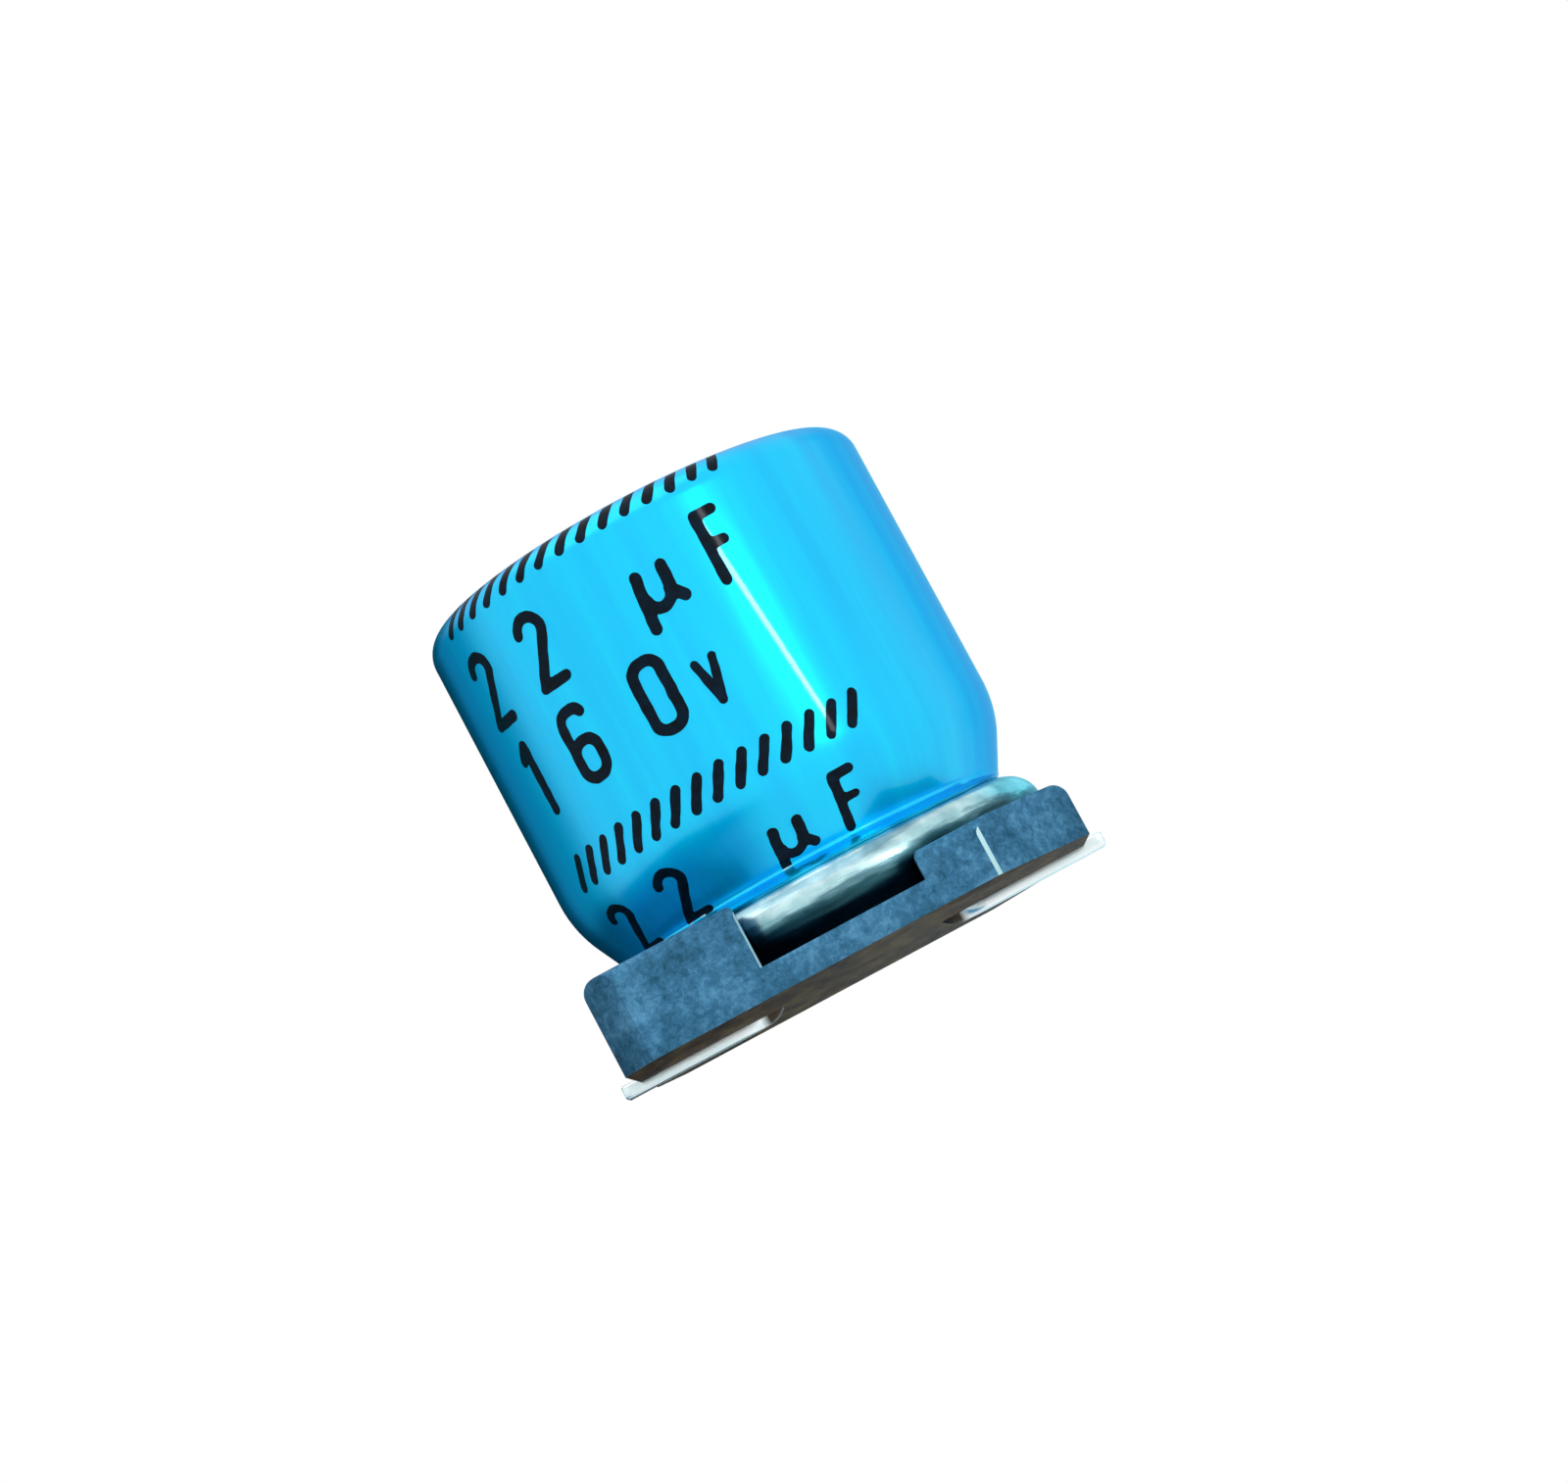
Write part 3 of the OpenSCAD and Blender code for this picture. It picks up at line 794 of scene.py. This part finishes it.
def strokeDistance(point, strokes):
    nearest = 1e9
    for stroke in strokes:
        for a, b in zip(stroke, stroke[1:]):
            along, reach = (b[0] - a[0], b[1] - a[1]), (point[0] - a[0], point[1] - a[1])
            length = along[0] ** 2 + along[1] ** 2
            share = (along[0] * reach[0] + along[1] * reach[1]) / length if length else 0.0
            share = min(1.0, max(0.0, share))
            nearest = min(nearest, math.hypot(reach[0] - share * along[0], reach[1] - share * along[1]))
    return nearest


def inkCharacter(shape, name, middle, seed):
    # ink where a stroke is near, drawn square by square, with a slightly rough edge
    width, strokes = characters[name]
    thick, cell = width / 2, printing["cell"]
    xs = [p[0] for stroke in strokes for p in stroke]
    ys = [p[1] for stroke in strokes for p in stroke]
    margin = thick + 2 * printing["roughEdge"] + cell
    start = (min(xs) - margin, min(ys) - margin)
    counts = (int((max(xs) - start[0] + margin) / cell) + 1, int((max(ys) - start[1] + margin) / cell) + 1)
    shift = (middle[0] - (min(xs) + max(xs)) / 2, middle[1] - digitHeight / 2)
    rise = math.tan(math.radians(printing["tilt"]))
    level = {}
    for i in range(counts[0] + 1):
        for j in range(counts[1] + 1):
            spot = (start[0] + i * cell, start[1] + j * cell)
            sample = Vector((spot[0] / printing["roughGrain"], spot[1] / printing["roughGrain"], seed * 7.3))
            rough = noise.noise(sample) * printing["roughEdge"]
            level[i, j] = thick + rough - strokeDistance(spot, strokes)
    made = {}

    def vertexAt(a, b):
        # a corner when a and b are the same, and otherwise the ink's edge between two corners
        if (a, b) not in made:
            share = 0.0 if a == b else min(0.98, max(0.02, level[a] / (level[a] - level[b])))
            x = start[0] + (a[0] + (b[0] - a[0]) * share) * cell + shift[0]
            y = start[1] + (a[1] + (b[1] - a[1]) * share) * cell + shift[1]
            made[a, b] = shape.verts.new((x * mm, (y + x * rise) * mm, 0))
        return made[a, b]

    for i in range(counts[0]):
        for j in range(counts[1]):
            corners = [(i, j), (i + 1, j), (i + 1, j + 1), (i, j + 1)]
            ring = []
            for a, b in zip(corners, corners[1:] + corners[:1]):
                if level[a] > 0:
                    ring.append(vertexAt(a, a))
                if (level[a] > 0) != (level[b] > 0):
                    ring.append(vertexAt(min(a, b), max(a, b)))
            if len(ring) > 2:
                shape.faces.new(ring)


def flatArtwork():
    shape = bmesh.new()
    seed = 0
    for height, row in zip(printing["rowHeights"], rowText):
        for name, angle in row:
            seed += 1
            middle = (math.radians(angle) * (canRadius + sleeve["thickness"]), height)
            inkCharacter(shape, name, middle, seed)
    bmesh.ops.translate(shape, verts=shape.verts, vec=(0, 0, -printing["inkInFilm"] * mm))
    grown = bmesh.ops.extrude_face_region(shape, geom=shape.faces[:])["geom"]
    lift = (0, 0, (printing["inkInFilm"] + printing["inkThickness"]) * mm)
    bmesh.ops.translate(shape, verts=[v for v in grown if isinstance(v, bmesh.types.BMVert)], vec=lift)
    return meshFrom("artwork", shape)


def buildPrintTree():
    tree = bpy.data.node_groups.new("wrappedPrint", "GeometryNodeTree")
    given = addInputs(tree, Geometry=["Geometry"], Object=["Outline"], Int=["Columns", "Rows"],
                      Float=["Repeat", "Radius", "Side Height", "Side Length", "Lowest", "Highest",
                             "Gather Below", "Gather Share"], Material=["Material"])
    # rows of the artwork one above the other, then the stack of rows round the can
    stepUp = addNode(tree, "ShaderNodeCombineXYZ", {1: given["Repeat"]})
    others = addNode(tree, "ShaderNodeMath", {0: given["Rows"], 1: 1}, operation="SUBTRACT")
    halfDown = addNode(tree, "ShaderNodeMath", {0: others, 1: -0.5}, operation="MULTIPLY")
    lowestRow = addNode(tree, "ShaderNodeVectorMath", {0: stepUp, "Scale": halfDown}, operation="SCALE")
    rowSpots = addNode(tree, "GeometryNodeMeshLine", {"Count": given["Rows"], "Start Location": lowestRow,
                       "Offset": stepUp})
    rows = addNode(tree, "GeometryNodeInstanceOnPoints", {"Points": rowSpots,
                   "Instance": given["Geometry"]})
    stack = addNode(tree, "GeometryNodeRealizeInstances", {"Geometry": rows})
    girth = addNode(tree, "ShaderNodeMath", {0: given["Radius"], 1: 2 * math.pi}, operation="MULTIPLY")
    columnStep = addNode(tree, "ShaderNodeMath", {0: girth, 1: given["Columns"]}, operation="DIVIDE")
    stepAcross = addNode(tree, "ShaderNodeCombineXYZ", {0: columnStep})
    columnSpots = addNode(tree, "GeometryNodeMeshLine", {"Count": given["Columns"], "Offset": stepAcross})
    columns = addNode(tree, "GeometryNodeInstanceOnPoints", {"Points": columnSpots, "Instance": stack})
    flat = addNode(tree, "GeometryNodeRealizeInstances", {"Geometry": columns})
    # what would fall past the film's ends isn't printed
    spot = addNode(tree, "GeometryNodeInputPosition")
    axes = addNode(tree, "ShaderNodeSeparateXYZ", {0: spot})
    tooLow = addNode(tree, "FunctionNodeCompare", {0: axes.outputs["Y"], 1: given["Lowest"]},
                     operation="LESS_THAN")
    tooHigh = addNode(tree, "FunctionNodeCompare", {0: axes.outputs["Y"], 1: given["Highest"]},
                      operation="GREATER_THAN")
    outside = addNode(tree, "FunctionNodeBooleanMath", {0: tooLow, 1: tooHigh}, operation="OR")
    kept = addNode(tree, "GeometryNodeDeleteGeometry", {"Geometry": flat, "Selection": outside},
                   domain="POINT")
    # across the artwork becomes an angle, and up it a length along the film's outline
    turn = addNode(tree, "ShaderNodeMath", {0: axes.outputs["X"], 1: given["Radius"]}, operation="DIVIDE")
    angle = addNode(tree, "ShaderNodeMath", {0: turn, 1: -math.pi / 2}, operation="ADD")
    under = addNode(tree, "ShaderNodeMath", {0: given["Gather Below"], 1: axes.outputs["Y"]},
                    operation="SUBTRACT")
    gathered = addNode(tree, "ShaderNodeMath", {0: under, 1: 0.0}, operation="MAXIMUM")
    printed = addNode(tree, "ShaderNodeMath", {0: gathered, 1: given["Gather Share"],
                      2: axes.outputs["Y"]}, operation="MULTIPLY_ADD")
    drop = addNode(tree, "ShaderNodeMath", {0: given["Side Height"], 1: printed}, operation="SUBTRACT")
    length = addNode(tree, "ShaderNodeMath", {0: drop, 1: given["Side Length"]}, operation="ADD")
    outline = addNode(tree, "GeometryNodeObjectInfo", {"Object": given["Outline"]})
    curve = addNode(tree, "GeometryNodeMeshToCurve", {"Mesh": outline.outputs["Geometry"]})
    onFilm = addNode(tree, "GeometryNodeSampleCurve", {"Curves": curve, "Length": length}, mode="LENGTH")
    base = addNode(tree, "ShaderNodeSeparateXYZ", {0: onFilm.outputs["Position"]})
    run = addNode(tree, "ShaderNodeSeparateXYZ", {0: onFilm.outputs["Tangent"]})
    outwards = addNode(tree, "ShaderNodeMath", {0: run.outputs["Z"], 1: -1.0}, operation="MULTIPLY")
    radius = addNode(tree, "ShaderNodeMath", {0: outwards, 1: axes.outputs["Z"], 2: base.outputs["X"]},
                     operation="MULTIPLY_ADD")
    height = addNode(tree, "ShaderNodeMath", {0: run.outputs["X"], 1: axes.outputs["Z"],
                     2: base.outputs["Z"]}, operation="MULTIPLY_ADD")
    place = spinNodes(tree, radius, angle, height)
    wrapped = addNode(tree, "GeometryNodeSetPosition", {"Geometry": kept, "Position": place})
    return endTree(tree, wrapped, given["Material"])


def makePrinting():
    outer = filmOutline(-sleeve["thickness"])
    toSide = [outer[0]] + shoulderOutline(-sleeve["thickness"])
    guide = outlineObject("filmOutline", outer)
    obj = runTree("sleevePrint", buildPrintTree(), {
        "Outline": guide, "Columns": printing["columns"], "Rows": printing["rows"],
        "Repeat": printing["repeat"] * mm, "Radius": (canRadius + sleeve["thickness"]) * mm,
        "Side Height": shoulderCentre[1] * mm, "Side Length": outlineLength(toSide) * mm,
        "Lowest": printing["lowest"] * mm, "Highest": printing["highest"] * mm,
        "Gather Below": printing["gatherBelow"] * mm, "Gather Share": printing["gatherShare"],
        "Material": screenInk}, flatArtwork())
    bpy.data.objects.remove(guide)
    closeMesh(obj)  # a character that the film's end cuts off is open there
    finishPiece(obj, "sleeve_film")
    return obj


print("printing wrapped:", len(makePrinting().data.polygons), "faces")


# Leads: round tinned wire, bent outwards and pressed flat

lead = {
    "pitch": 5.0,
    "wire": 0.65,
    "bendInside": 0.12,
    "width": 1.0,
    "thickness": 0.4,
    "flatRun": 0.7,         # over which the round wire becomes flat
    "tipRound": 0.05,       # rounding that the cropping tool leaves
    "groove": 0.03,         # room round the lead in the seat
    "squareness": 7,        # of the flat part's section, where 2 is round
    "around": 40,           # corners of each section
    "bendSteps": 12,
    "flatSteps": 8,
}


def leadSection(width, thick, squareness):
    # a rounded section between a circle (squareness 2) and a bar
    points = []
    for i in range(lead["around"]):
        a = 2 * math.pi * i / lead["around"]
        c, s = math.cos(a), math.sin(a)
        points.append((math.copysign(abs(c) ** (2 / squareness), c) * width / 2,
                       math.copysign(abs(s) ** (2 / squareness), s) * thick / 2))
    return points


def leadMesh(name, side, top, tip, grow=0.0):
    # sections from the wire's top down, round its bend and out to the flat tip
    wire = lead["wire"]
    bend = wire / 2 + lead["bendInside"]
    wireX, turnZ = lead["pitch"] / 2, wire / 2 + bend
    shape = bmesh.new()
    rings = []

    def addRing(centre, direction, width, thick, squareness=2):
        normal = Vector((-direction[1], 0, direction[0]))
        ring = []
        for u, v in leadSection(width + 2 * grow, thick + 2 * grow, squareness):
            spot = Vector((centre[0], u, centre[1])) + normal * v
            ring.append(shape.verts.new((side * spot.x * mm, spot.y * mm, spot.z * mm)))
        rings.append(ring)

    addRing((wireX, top), (0, -1), wire, wire)
    for i in range(lead["bendSteps"] + 1):
        a = math.radians(180 + 90 * i / lead["bendSteps"])
        addRing((wireX + bend + bend * math.cos(a), turnZ + bend * math.sin(a)), (-math.sin(a), math.cos(a)),
                wire, wire)
    for i in range(1, lead["flatSteps"] + 1):
        share = i / lead["flatSteps"]
        ease = share * share * (3 - 2 * share)
        wide, thick = wire + (lead["width"] - wire) * ease, wire + (lead["thickness"] - wire) * ease
        addRing((wireX + bend + lead["flatRun"] * share, thick / 2), (1, 0), wide, thick,
                2 + (lead["squareness"] - 2) * ease)
    # how far each ring of the tip lies back and inwards, as shares of its rounding
    r, wide, thick = lead["tipRound"], lead["width"], lead["thickness"]
    for back, trim in ((4, 0), (1, 0), (0.3, 0.5), (0, 1)):
        addRing((tip + grow - back * r, thick / 2), (1, 0), wide - 2 * trim * r, thick - 2 * trim * r,
                lead["squareness"])
    for a, b in zip(rings, rings[1:]):
        for i in range(lead["around"]):
            j = (i + 1) % lead["around"]
            shape.faces.new((a[i], a[j], b[j], b[i]))
    shape.faces.new(rings[0][::-1])
    shape.faces.new(rings[-1])
    return meshFrom(name, shape)


def makeLead(name, node, side):
    low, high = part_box(node)
    tip = (high.x if side > 0 else -low.x) / mm
    obj = newObject(name, leadMesh(name, side, high.z / mm, tip), tinPlate)
    cleanMesh(obj, 40)
    finishPiece(obj, "tinned_wire", node)
    return obj


makeLead("anodeWire", "anode_lead", 1)
makeLead("cathodeWire", "cathode_lead", -1)
print("leads pressed")


# Seat: moulded plate with four corner walls, two of its corners cut off

seat = {
    "tallWall": 1.77,       # above the floor, on the negative side
    "lowWall": 0.77,
    "floor": 0.77,
    "gapWidth": 4.58,       # between two corner walls
    "cornerCut": 2.6,       # off the corners on the positive side
    "cornerBevel": 0.88,    # off the corners on the negative side
    "topRound": 0.4,
    "canGap": 0.08,
    "edgeSoftening": 0.06,
    "highlightFacet": 0.07,    # narrow upright facet to each side of the corner, which carries a painted highlight
    "nickedEdge": 0.05,     # the same where a tall wall ends
    "boreSides": 192,
}


def seatSideView(halfWidth, underside, floorTop, leftTop, rightTop):
    gap, r = seat["gapWidth"] / 2, seat["topRound"]
    return ([(-halfWidth, underside)]
            + arcPoints((r - halfWidth, leftTop - r), r, 180, 90, 8)
            + arcPoints((-gap - r / 2, leftTop - r / 2), r / 2, 90, 0, 6)
            + [(-gap, floorTop), (gap, floorTop)]
            + arcPoints((gap + r / 2, rightTop - r / 2), r / 2, 180, 90, 6)
            + arcPoints((halfWidth - r, rightTop - r), r, 90, 0, 8)
            + [(halfWidth, underside)])


def markHighlightFacets(obj, edges):
    # the narrow upright faces that carry a painted highlight; each edge is x, y and how bright it is
    marks = obj.data.attributes.new("edgePolish", "FLOAT", "FACE")
    for polygon in obj.data.polygons:
        centre, normal = polygon.center / mm, polygon.normal
        for x, y, strength in edges:
            near = math.hypot(centre.x - x, abs(centre.y) - y) < seat["highlightFacet"]
            if near and 0.2 < normal.x < 0.8 and abs(normal.z) < 0.3:
                marks.data[polygon.index].value = strength


def makeSeat():
    low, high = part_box("seat")
    halfWidth, underside = high.x / mm, low.z / mm
    floorTop = underside + seat["floor"]
    tall, short = floorTop + seat["tallWall"], floorTop + seat["lowWall"]
    cut, bevelled = halfWidth - seat["cornerCut"], halfWidth - seat["cornerBevel"]
    trim = seat["highlightFacet"]
    slant = trim * math.sqrt(0.5)
    plan = [(halfWidth, -cut), (halfWidth, cut), (cut + slant, halfWidth - slant), (cut - trim, halfWidth),
            (-bevelled, halfWidth), (-halfWidth, bevelled), (-halfWidth, -bevelled), (-bevelled, -halfWidth),
            (cut - trim, -halfWidth), (cut + slant, slant - halfWidth)]
    obj = prism("seatMoulding", plan, "Z", 0, tall + 1)
    front = seatSideView(halfWidth, underside, floorTop, tall, short)
    cutWith(obj, prism("front", front, "Y", -halfWidth - 1, halfWidth + 1), "INTERSECT")
    left = seatSideView(halfWidth, underside, floorTop, tall, tall)
    right = seatSideView(halfWidth, underside, floorTop, short, short)
    sides = prism("left", left, "X", -halfWidth - 1, 1)
    cutWith(sides, prism("right", right, "X", -1, halfWidth + 1), "UNION")
    cutWith(obj, sides, "INTERSECT")
    bore = canRadius + seat["canGap"]
    turns = [2 * math.pi * i / seat["boreSides"] for i in range(seat["boreSides"])]
    circle = [(bore * math.cos(a), bore * math.sin(a)) for a in turns]
    cutWith(obj, prism("bore", circle, "Z", floorTop, tall + 2))
    notch, nick = -seat["gapWidth"] / 2, seat["nickedEdge"]
    for side in (1, -1):
        corner = [(notch - nick, side * (halfWidth + nick)), (notch - nick, side * halfWidth),
                  (notch, side * (halfWidth - nick)), (notch + nick, side * (halfWidth - nick)),
                  (notch + nick, side * (halfWidth + nick))]
        cutWith(obj, prism("nick", corner, "Z", floorTop, tall + 1))
    cleanMesh(obj, 35)
    bevel = obj.modifiers.new("soften", "BEVEL")
    bevel.width = seat["edgeSoftening"] * mm
    bevel.segments = 2
    bevel.limit_method = "ANGLE"
    bevel.angle_limit = math.radians(35)
    bakeModifiers(obj)
    for side in (1, -1):
        groove = leadMesh("groove", side, floorTop + 1, halfWidth + 1, lead["groove"])
        cutWith(obj, newObject("groove", groove))
    obj.data.materials.clear()
    obj.data.materials.append(nylon)
    cleanMesh(obj, 30)
    # painted highlights: full at the cut corners, weaker where a tall wall ends
    markHighlightFacets(obj, [(cut, halfWidth, 1.0), (notch, halfWidth, 0.55)])
    finishPiece(obj, "seat_plastic", "seat")
    return obj


seatMesh = makeSeat().data
# faces that carry the painted edge highlight
highlighted = sum(mark.value > 0 for mark in seatMesh.attributes["edgePolish"].data)
print("seat moulded:", len(seatMesh.polygons), "faces,", highlighted, "of them trimmed edges")


# Inner pieces, which keep their solids' shapes

def dressNode(name, material):
    for slot in nodes[name].material_slots:
        slot.material = material


# moulded butyl rubber: nearly black, dull, with a dusty bloom
dressNode("bung", hiddenMaterial("butylRubber", (0.8, 0.8, 0.8), 5.0, [(0.35, "#1D1E20"), (0.7, "#34363A")],
                                 (0.3, 0.03), {"Roughness": 0.8}))
# kraft paper soaked in electrolyte: buff, with long fibres that run round the roll
dressNode("winding", hiddenMaterial("woundKraftPaper", (2.5, 1, 0.12), 5.0,
                                    [(0.3, "#B79A6B"), (0.7, "#DCC79B")], (0.3, 0.02),
                                    {"Roughness": 0.75}, unrolled=True))
# polyester winding tape: thin, glossy amber, with fine slitting lines round it
dressNode("winding_tape", hiddenMaterial("polyesterTape", (6, 1, 0.2), 3.0,
                                         [(0.3, "#B9832A"), (0.7, "#D8A23F")], (0.15, 0.01),
                                         {"Roughness": 0.25}, unrolled=True))
# pure aluminium rod, beaten flat: pale and satin, with hammer dents
beaten = hiddenMaterial("beatenAluminium", (0.5, 0.5, 0.5), 3.0, [(0.3, "#BFC3C6"), (0.7, "#DEE1E3")],
                        (0.4, 0.03), {"Metallic": 1.0, "Roughness": 0.35})
dressNode("anode_tab", beaten)
dressNode("cathode_tab", beaten)
print("inner pieces dressed")


# Colour handling

bpy.context.scene.view_settings.view_transform = "Standard"
